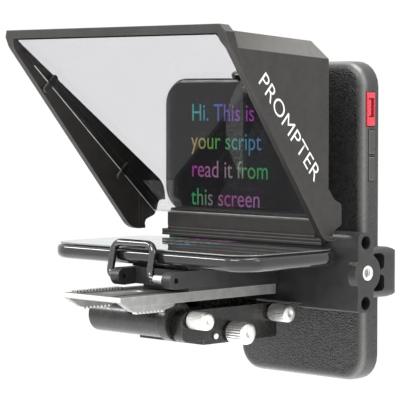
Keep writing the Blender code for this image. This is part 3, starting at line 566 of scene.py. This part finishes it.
# how wide the larger rounded edges are
BEVELS = {
    "hood_shell": 0.35, "lens_collar": 0.3, "hood_foot": 0.3, "cross_bar": 0.4, "clamp_body": 0.35,
    "dovetail_plate": 0.25, "phone_rest": 0.4, "right_jaw": 0.4, "left_jaw": 0.4, "cross_tube": 0.3,
    "tube_collar": 0.3, "display_phone_body": 0.2, "camera_phone_case": 0.2,
}
for node_name in NODES:
    dress(node_name, BEVELS.get(node_name, SMALL_EDGE))


# ---------------------------------------------------------------- script on the display phone

# each line's words, and its colours as (share of the way along, colour)
LINES = (
    ("Hi. This is", (
        (0.0, (0.02, 0.75, 0.62)), (0.3, (0.16, 0.20, 0.80)),
        (0.62, (0.62, 0.10, 0.60)), (1.0, (0.85, 0.05, 0.12)),
    )),
    ("your script", (
        (0.0, (0.80, 0.50, 0.20)), (0.3, (0.10, 0.70, 0.15)),
        (0.62, (0.10, 0.40, 0.70)), (1.0, (0.62, 0.12, 0.62)),
    )),
    ("read it from", (
        (0.0, (0.75, 0.08, 0.65)), (0.35, (0.62, 0.42, 0.50)),
        (0.65, (0.10, 0.60, 0.15)), (1.0, (0.05, 0.62, 0.50)),
    )),
    ("this screen", (
        (0.0, (0.04, 0.70, 0.22)), (0.35, (0.62, 0.12, 0.45)),
        (0.7, (0.55, 0.25, 0.62)), (1.0, (0.12, 0.55, 0.62)),
    )),
)
LINE_START = -46.0  # x of each line's first letter
FIRST_LINE = -22.4  # y of the middle of the first line
LINE_PITCH = 13.7
LINE_SPAN = 66.0  # the length over which the colours change
CAP_HEIGHT = 8.3
LETTER_WIDTH = 0.90  # as a share of the font's own
SCRIPT_LIFT = 0.04  # above the screen's glass
SCRIPT_GLOW = 0.98


def script_line(number, words, stops):
    """One line of the script, mirrored so that it reads the right way in the glass."""
    mesh = lettering(words, CAP_HEIGHT / CAP_SHARE)
    face = box_mm("display_screen")[1].z + SCRIPT_LIFT
    base = FIRST_LINE + LINE_PITCH * (number - 1) + CAP_HEIGHT / 2
    for v in mesh.vertices:
        v.co = Vector((LINE_START + v.co.x * LETTER_WIDTH, base - v.co.y, face)) * MM
    mesh.flip_normals()
    f = Finish(f"script_glow_{number}", (0.0, 0.0, 0.0), 0.15, Coat_Weight=1.0, Coat_IOR=1.6)
    where = f.spread(f.along("X"), LINE_START * MM, (LINE_START + LINE_SPAN) * MM)
    f.set("Emission Color", f.ramp(where, stops))
    f.set("Emission Strength", SCRIPT_GLOW)
    mesh_object(f"script_line_{number}", mesh, "screen_glass", "display_phone", finish=f.material)


for line_number, (line_words, line_stops) in enumerate(LINES, start=1):
    script_line(line_number, line_words, line_stops)


# ---------------------------------------------------------------- thumbscrews

HEAD_START = 23.0
BIG_HEAD = 4.5  # heads of a larger radius have the thicker shank
THICK_SHANK, THIN_SHANK = 1.8, 1.5
TIP_SHARE, TIP_LENGTH = 0.7, 0.4
THREAD_PITCH, THREAD_DEPTH = 0.5, 0.16
THREAD_END, NECK_START, NECK_END = 2.4, 2.0, 0.6  # before the head
STEPS_PER_RIB = 4
RIB_SHARPNESS = 0.6
# shares of the head's radius, millimetres past its start, shares of the knurl's depth
HEAD_BASE = (
    (0.72, -0.55, 0), (0.74, 0.0, 0), (0.90, 0.05, 0), (0.985, 0.35, 0.3), (1.0, 0.8, 1), (1.0, 1.0, 1),
)
# the same, but millimetres before its end: the knurled rim, the dome and the dimple
HEAD_DOME = (
    (1.0, 1.9, 1), (1.0, 1.6, 1), (0.985, 1.1, 0.5), (0.94, 0.6, 0), (0.84, 0.22, 0),
    (0.66, 0.04, 0), (0.45, 0.0, 0), (0.3, 0.0, 0), (0.24, 0.25, 0), (0.1, 0.35, 0),
)


def screw_profile(radius, start, end):
    """(radius, x, share of the knurl) from the tip of the shank to the dimple in the head."""
    shank = THICK_SHANK if radius > BIG_HEAD else THIN_SHANK
    profile = [(shank * TIP_SHARE, start, 0), (shank, start + TIP_LENGTH, 0)]
    x = start + 2 * TIP_LENGTH
    while x < HEAD_START - THREAD_END:
        profile += [(shank, x, 0), (shank - THREAD_DEPTH, x + THREAD_PITCH / 2, 0)]
        x += THREAD_PITCH
    profile += [(shank, HEAD_START - NECK_START, 0), (shank, HEAD_START - NECK_END, 0)]
    profile += [(radius * share, HEAD_START + past, knurl) for share, past, knurl in HEAD_BASE]
    profile += [(radius * share, end - before, knurl) for share, before, knurl in HEAD_DOME]
    return profile


def thumbscrew(name, body, ribs, groove):
    """A knurled nickel head with a domed end, a neck and a threaded shank."""
    low, high = box_mm(name)
    y, z = (low.y + high.y) / 2, (low.z + high.z) / 2
    loops = []
    for radius, x, knurl in screw_profile((high.y - low.y) / 2, low.x, high.x):
        ring = []
        for turn in angles(ribs * STEPS_PER_RIB):
            reach = radius - groove * knurl * (0.5 - 0.5 * cos(ribs * turn)) ** RIB_SHARPNESS
            ring.append(Vector((x, y + reach * cos(turn), z + reach * sin(turn))) * MM)
        loops.append(ring)
    piece = name + "_knurled"
    mesh_object(piece, from_loops(piece, loops, sharp=50.0), "nickel", body, name)


thumbscrew("thumbscrew_front", "front_screw", 36, 0.16)
thumbscrew("thumbscrew_lock", "lock_screw", 26, 0.34)
thumbscrew("thumbscrew_rear", "rear_screw", 34, 0.18)


# ---------------------------------------------------------------- bail

WIRE_RADIUS, TIP_RADIUS = 1.75, 1.1
LOW_BEND, HIGH_BEND = 3.2, 4.2
BAIL_LEAN = Vector((0.0, 3.0 / 14.9, 1.0)).normalized()  # it leans back by 3 over its height of 14.9
LEFT_TIP, RIGHT_LEG = -7.4, 9.7
LEFT_TAPER, RIGHT_TAPER = (-12.2, -12.5), (13.0, 13.3)  # where the wire changes between its two radii


def bail():
    """The wire loop with round bends; its thin ends lie on the hinge axis."""
    low, high = box_mm("bail_wire")
    hinge_low, hinge_high = box_mm("bail_thread")
    y, z = (hinge_low.y + hinge_high.y) / 2, (hinge_low.z + hinge_high.z) / 2
    left_leg = low.x + WIRE_RADIUS
    height = (high.z - WIRE_RADIUS - z) / BAIL_LEAN.z
    corners = [
        (LEFT_TIP, 0.0, 0), (left_leg, 0.0, LOW_BEND), (left_leg, height, HIGH_BEND),
        (RIGHT_LEG, height, HIGH_BEND), (RIGHT_LEG, 0.0, LOW_BEND), (high.x, 0.0, 0),
    ]
    left_tip, *bends, right_tip = round_corners(corners, 12, closed=False)
    flat = [left_tip, *((x, 0.0) for x in LEFT_TAPER), *bends, *((x, 0.0) for x in RIGHT_TAPER), right_tip]
    radii = [TIP_RADIUS] * 2 + [WIRE_RADIUS] * (len(bends) + 2) + [TIP_RADIUS] * 2
    path = [Vector((x, y, z)) + BAIL_LEAN * up for x, up in flat]
    mesh = from_loops("bail_wire_round", wire(path, radii, 24), sharp=50.0)
    mesh_object("bail_wire_round", mesh, "chrome_wire", "bail", "bail_wire")


bail()


# ---------------------------------------------------------------- jaw springs

SPRING_GAUGE = 0.32
SPRING_TURNS = 9
STEPS_PER_TURN = 20
EVEN_SHARE = 0.55  # of the pitch; the rest closes up towards the ends


def jaw_spring(name):
    """A coil spring in the CAD spring's box, its turns closer together towards the ends."""
    low, high = box_mm(name)
    y, z = (low.y + high.y) / 2, (low.z + high.z) / 2
    reach = (high.z - low.z) / 2 - SPRING_GAUGE
    span = high.x - low.x - 2 * SPRING_GAUGE
    count = SPRING_TURNS * STEPS_PER_TURN
    path = []
    for i in range(count + 1):
        turn = 2 * pi * i / STEPS_PER_TURN
        share = i / count
        ease = 0.5 - 0.5 * cos(pi * share)
        x = low.x + SPRING_GAUGE + span * (EVEN_SHARE * share + (1 - EVEN_SHARE) * ease)
        path.append((x, y + reach * cos(turn), z + reach * sin(turn)))
    mesh = from_loops(name + "_coil", wire(path, [SPRING_GAUGE] * len(path), 8), sharp=60.0)
    piece = mesh_object(name + "_coil", mesh, "spring_steel", None, name)
    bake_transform(piece)


jaw_spring("jaw_spring_upper")
jaw_spring("jaw_spring_lower")


# ---------------------------------------------------------------- plate racks

TOOTH_PITCH, TOOTH_HEIGHT = 1.9, 0.75
TOOTH_OUTLINE = ((0.15, 0.0), (0.65, TOOTH_HEIGHT), (1.05, TOOTH_HEIGHT), (1.55, 0.0))
RACK_SINK = 0.3
PLATE_LOW, PLATE_HIGH = box_mm("dovetail_plate")


def plate_rack(name, x0, x1, start, teeth):
    """A row of low teeth along an edge of the plate's top."""
    top = PLATE_HIGH.z
    outline = [(start, top - RACK_SINK)]
    for i in range(teeth):
        outline += [(start + TOOTH_PITCH * i + y, top + up) for y, up in TOOTH_OUTLINE]
    outline.append((start + TOOTH_PITCH * teeth, top - RACK_SINK))
    loops = [[Vector((x, y, z)) * MM for y, z in outline] for x in (x0, x1)]
    mesh_object(name, from_loops(name, loops), "key_metal", "carriage")


plate_rack("plate_rack_left", PLATE_LOW.x + 1.0, PLATE_LOW.x + 4.6, -66.0, 15)
plate_rack("plate_rack_right", PLATE_HIGH.x - 3.6, PLATE_HIGH.x - 1.2, -20.0, 6)


# ---------------------------------------------------------------- painted highlights along the edges of the glass

PANE_THICKNESS = 2.0
PANE_HALF = 59.7
PANE_FLARE = 7.22  # how far each side leans out over the strip's length
STRIP_LENGTH = 100.0
STRIP_START = 0.2
STRIP_FRONT, STRIP_BACK = -0.12, 0.02  # depths behind the pane's front face
PANE_EDGE_HIGHLIGHT = painted_pane_highlight()


def on_pane(along, depth):
    """(y, z) in millimetres of a point up the pane and behind its front face."""
    low, high = box_mm("beam_splitter_glass")
    edge_y = high.y - PANE_THICKNESS / sqrt(2.0)
    return edge_y + (depth - along) / sqrt(2.0), low.z + (depth + along) / sqrt(2.0)


def pane_highlight_strip(name, x0, along0, x1, along1, width):
    """A thin pale strip just proud of the pane's front face, from one (x, along) to another: a painted
    highlight.
    """
    run = Vector((x1 - x0, along1 - along0)).normalized() * width
    quad = [(x0, along0), (x1, along1), (x1 - run.y, along1 + run.x), (x0 - run.y, along0 + run.x)]
    bm = bmesh.new()
    front = [bm.verts.new(Vector((x, *on_pane(along, STRIP_FRONT))) * MM) for x, along in quad]
    back = [bm.verts.new(Vector((x, *on_pane(along, STRIP_BACK))) * MM) for x, along in quad]
    bm.faces.new(front)
    bm.faces.new(back[::-1])
    for k in range(4):
        m = (k + 1) % 4
        bm.faces.new((front[k], back[k], back[m], front[m]))
    bmesh.ops.recalc_face_normals(bm, faces=bm.faces)
    mesh_object(name, mesh_from(bm, name), "splitter_glass", "hood", finish=PANE_EDGE_HIGHLIGHT)


pane_highlight_strip("pane_highlight_low", -PANE_HALF, STRIP_START, PANE_HALF, STRIP_START, 0.75)
pane_highlight_strip("pane_highlight_left", -PANE_HALF - PANE_FLARE, STRIP_LENGTH, -PANE_HALF, STRIP_START, 0.45)


# ---------------------------------------------------------------- lettering on the hood

PRINT_LENGTH, PRINT_CAP = 60.5, 7.2
PRINT_START = Vector((-34.6, 118.2))  # (y, z) of the first letter's foot
PRINT_RUN, PRINT_UP = Vector((0.675, -0.738)), Vector((0.738, 0.675))
PANEL_X, PANEL_TAPER = 64.49, 0.102  # the side panel is at x = PANEL_X - PANEL_TAPER * y
PRINT_PROUD = 0.05
PRINT_THINNING = -0.006


def hood_lettering():
    """Plain generic lettering, printed on the panel at +X along its slanted edge."""
    mesh = lettering("PROMPTER", 1.0, PRINT_THINNING)
    wide = max(v.co.x for v in mesh.vertices)
    for v in mesh.vertices:
        across = PRINT_RUN * (v.co.x * PRINT_LENGTH / wide)
        y, z = PRINT_START + across + PRINT_UP * (v.co.y * PRINT_CAP / CAP_SHARE)
        v.co = Vector((PANEL_X - PANEL_TAPER * y + PRINT_PROUD, y, z)) * MM
    mesh_object("hood_lettering", mesh, "hood_plastic", "hood", finish=printed_white())


hood_lettering()


# ---------------------------------------------------------------- details of the phones

def rectangle(left, low, right, high, corner, steps):
    """The outline of a rectangle with round corners."""
    outline = [(left, low), (right, low), (right, high), (left, high)]
    return round_corners([(x, y, corner) for x, y in outline], steps)


BEAD_RADIUS = 0.22
BEAD_INSET = 0.05
BEAD_DROP = 0.32
BEAD_CORNER = 11.35


def display_edge():
    """A thin round bead along the edge of the display phone's screen."""
    low, high = box_mm("display_screen")
    path = rectangle(
        low.x + BEAD_INSET, low.y + BEAD_INSET, high.x - BEAD_INSET, high.y - BEAD_INSET, BEAD_CORNER, 10)
    z = high.z - BEAD_DROP
    loops = wire([(x, y, z) for x, y in path], [BEAD_RADIUS] * len(path), 8, closed=True)
    mesh = from_loops("display_screen_edge", loops, closed=True)
    mesh_object("display_screen_edge", mesh, "key_metal", "display_phone")


# (radius, y past the front of the lens)
LENS_RING = ((4.75, 0.25), (4.95, 0.0), (5.35, -0.1), (5.6, 0.1), (5.6, 0.5), (4.75, 0.5))


def lens_ring(name, node):
    """A polished ring round a lens of the camera phone."""
    low, high = box_mm(node)
    profile = [(radius, low.y + past) for radius, past in LENS_RING]
    loops = lathed((low.x + high.x) / 2, (low.z + high.z) / 2, profile, 48)
    mesh_object(name, from_loops(name, loops, closed=True), "key_metal", "camera_phone")


SLOT_HALF_LENGTH, SLOT_HALF_WIDTH = 6, 0.7
EARPIECE_DROP = 5.0
SELFIE_OFFSET = 10
SELFIE_RADIUS, SELFIE_FACE_RADIUS = 1.3, 0.9
SUNK = 0.1  # how far both go into the screen
SLOT_PROUD, SELFIE_RIM_PROUD, SELFIE_FACE_PROUD = 0.05, 0.04, 0.06


def earpiece():
    """The slot of the earpiece and the small camera beside it, on the camera phone's screen."""
    low, high = box_mm("camera_phone_screen")
    middle, z, face = (low.x + high.x) / 2, high.z - EARPIECE_DROP, high.y
    outline = rectangle(
        middle - SLOT_HALF_LENGTH, z - SLOT_HALF_WIDTH, middle + SLOT_HALF_LENGTH, z + SLOT_HALF_WIDTH,
        SLOT_HALF_WIDTH, 6)
    loops = [[Vector((x, y, z)) * MM for x, z in outline] for y in (face - SUNK, face + SLOT_PROUD)]
    mesh_object("earpiece_slot", from_loops("earpiece_slot", loops), "key_metal", "camera_phone")
    profile = (
        (SELFIE_RADIUS, face - SUNK), (SELFIE_RADIUS, face + SELFIE_RIM_PROUD),
        (SELFIE_FACE_RADIUS, face + SELFIE_FACE_PROUD),
    )
    loops = lathed(middle + SELFIE_OFFSET, z, profile, 32)
    mesh_object("selfie_lens", from_loops("selfie_lens", loops), "lens_glass", "camera_phone")


FRAME_SIDE, FRAME_LOW, FRAME_HIGH = 7, 24, 16  # margins of the frame line
FRAME_CORNER = 3.0
FRAME_LINE, RING_LINE = 0.28, 0.45  # radii of the lines
LINE_SINK = 0.55  # share of a line's radius that lies below the glass
RECORD_HEIGHT = 12.0
RECORD_RING, RECORD_RIM, RECORD_FACE = 5.2, 3.7, 3.4  # radii
RECORD_SUNK, RECORD_RIM_PROUD, RECORD_FACE_PROUD = 0.15, 0.03, 0.10


def viewfinder():
    """The camera phone shows a plain recording screen: a frame line and a round button."""
    low, high = box_mm("camera_phone_screen")
    middle, face, button_z = (low.x + high.x) / 2, high.y, low.z + RECORD_HEIGHT
    frame_line = rectangle(
        low.x + FRAME_SIDE, low.z + FRAME_LOW, high.x - FRAME_SIDE, high.z - FRAME_HIGH,
        FRAME_CORNER, 8)
    ring = [(middle + RECORD_RING * cos(t), button_z + RECORD_RING * sin(t)) for t in angles(48)]
    pale = lit_screen("screen_line_look", (0.70, 0.72, 0.75), 0.5)
    beads = ("viewfinder_frame", frame_line, FRAME_LINE), ("record_ring", ring, RING_LINE)
    for name, path, radius in beads:
        points = [(x, face - LINE_SINK * radius, z) for x, z in path]
        loops = wire(points, [radius] * len(points), 8, closed=True)
        mesh_object(name, from_loops(name, loops, closed=True), "screen_glass", "camera_phone", finish=pale)
    profile = (
        (RECORD_RIM, face - RECORD_SUNK), (RECORD_RIM, face + RECORD_RIM_PROUD),
        (RECORD_FACE, face + RECORD_FACE_PROUD),
    )
    mesh = from_loops("record_button", lathed(middle, button_z, profile, 40))
    red = lit_screen("record_button_look", (0.75, 0.03, 0.03), 0.6)
    mesh_object("record_button", mesh, "screen_glass", "camera_phone", finish=red)


display_edge()
viewfinder()
lens_ring("lens_ring_upper", "camera_lens_upper")
lens_ring("lens_ring_lower", "camera_lens_lower")
earpiece()


# ---------------------------------------------------------------- light, floor and camera

WORLD_LIGHT = 1.06
# name, place, what it is aimed at, size, power, in metres and watts
LIGHTS = (
    ("key", (0.1, -1.3, 1.1), (0.0, 0.0, 0.06), (0.9, 0.5), 12.0),
    ("side", (1.3, 0.3, 0.7), (0.0, 0.0, 0.06), (0.5, 0.9), 3.0),
    ("strip", (-0.85, -0.72, 0.62), (0.0, 0.0, 0.02), (0.5, 0.10), 5.0),
    ("top", (0.2, 0.1, 1.5), (0.0, 0.0, 0.0), (1.0, 1.0), 24.0),
)


def area_light(name, place, aim, size, power):
    """A rectangular lamp that looks at a point."""
    lamp = bpy.data.lights.new(name, "AREA")
    lamp.shape = "RECTANGLE"
    lamp.size, lamp.size_y = size
    lamp.energy = power
    holder = bpy.data.objects.new(name, lamp)
    holder.location = place
    direction = Vector(aim) - Vector(place)
    holder.rotation_euler = direction.to_track_quat("-Z", "Y").to_euler()
    bpy.context.scene.collection.objects.link(holder)


def studio():
    """A white world and the lamps."""
    world = bpy.data.worlds.new("studio")
    bpy.context.scene.world = world
    world.use_nodes = True
    background = world.node_tree.nodes["Background"]
    background.inputs["Color"].default_value = (1.0, 1.0, 1.0, 1.0)
    background.inputs["Strength"].default_value = WORLD_LIGHT
    for light in LIGHTS:
        area_light(*light)


FLOOR_DROP = 0.35  # in metres; the object is held by a tripod, so the floor is well below it
FLOOR_STEPS = 96
# (radius, rise) in metres
FLOOR_PROFILE = (
    (0.6, 0.0), (1.5, 0.0), (2.6, 0.0), (3.4, 0.03), (4.2, 0.16), (5.0, 0.5), (5.6, 1.1), (6.0, 1.9),
)


def floor():
    """A pale disc whose far rim rises gently, so that no horizon shows."""
    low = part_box("camera_phone_case")[0].z - FLOOR_DROP
    turns = angles(FLOOR_STEPS)
    bm = bmesh.new()
    centre = bm.verts.new((0.0, 0.0, low))
    rings = [
        [bm.verts.new((radius * cos(turn), radius * sin(turn), low + rise)) for turn in turns]
        for radius, rise in FLOOR_PROFILE
    ]
    for k in range(FLOOR_STEPS):
        m = (k + 1) % FLOOR_STEPS
        bm.faces.new((centre, rings[0][k], rings[0][m]))
        for near, far in zip(rings, rings[1:]):
            bm.faces.new((near[k], far[k], far[m], near[m]))
    mesh = mesh_from(bm, "studio_floor")
    smooth(mesh, 60.0)
    piece = bpy.data.objects.new("studio_floor", mesh)
    bpy.context.scene.collection.objects.link(piece)
    f = Finish("floor_look", (0.93, 0.93, 0.93), 0.9)
    patches = f.spread(f.noise(60.0, 3.0), 0.3, 0.7)
    f.set("Base Color", f.mix(patches, (0.925, 0.925, 0.925), (0.94, 0.94, 0.94)))
    f.bump(f.noise(1.5, 3.0), 0.02, 0.2)
    mesh.materials.append(f.material)


CAMERA_PLACE = (0.686, -0.683, 0.1136)  # in metres
CAMERA_DOWN, CAMERA_TURN = 2.95, 45.19  # degrees below level, and round from the front to +X
CAMERA_LENS, CAMERA_SENSOR = 188.7, 36.0


def camera():
    """The photograph's view, from the front and the +X side, and slightly above."""
    data = bpy.data.cameras.new("camera")
    data.lens = CAMERA_LENS
    data.sensor_width = CAMERA_SENSOR
    holder = bpy.data.objects.new("camera", data)
    holder.location = CAMERA_PLACE
    holder.rotation_euler = (radians(90 - CAMERA_DOWN), 0.0, radians(CAMERA_TURN))
    bpy.context.scene.collection.objects.link(holder)
    bpy.context.scene.camera = holder


studio()
floor()
camera()
bpy.context.scene.view_settings.view_transform = "Standard"
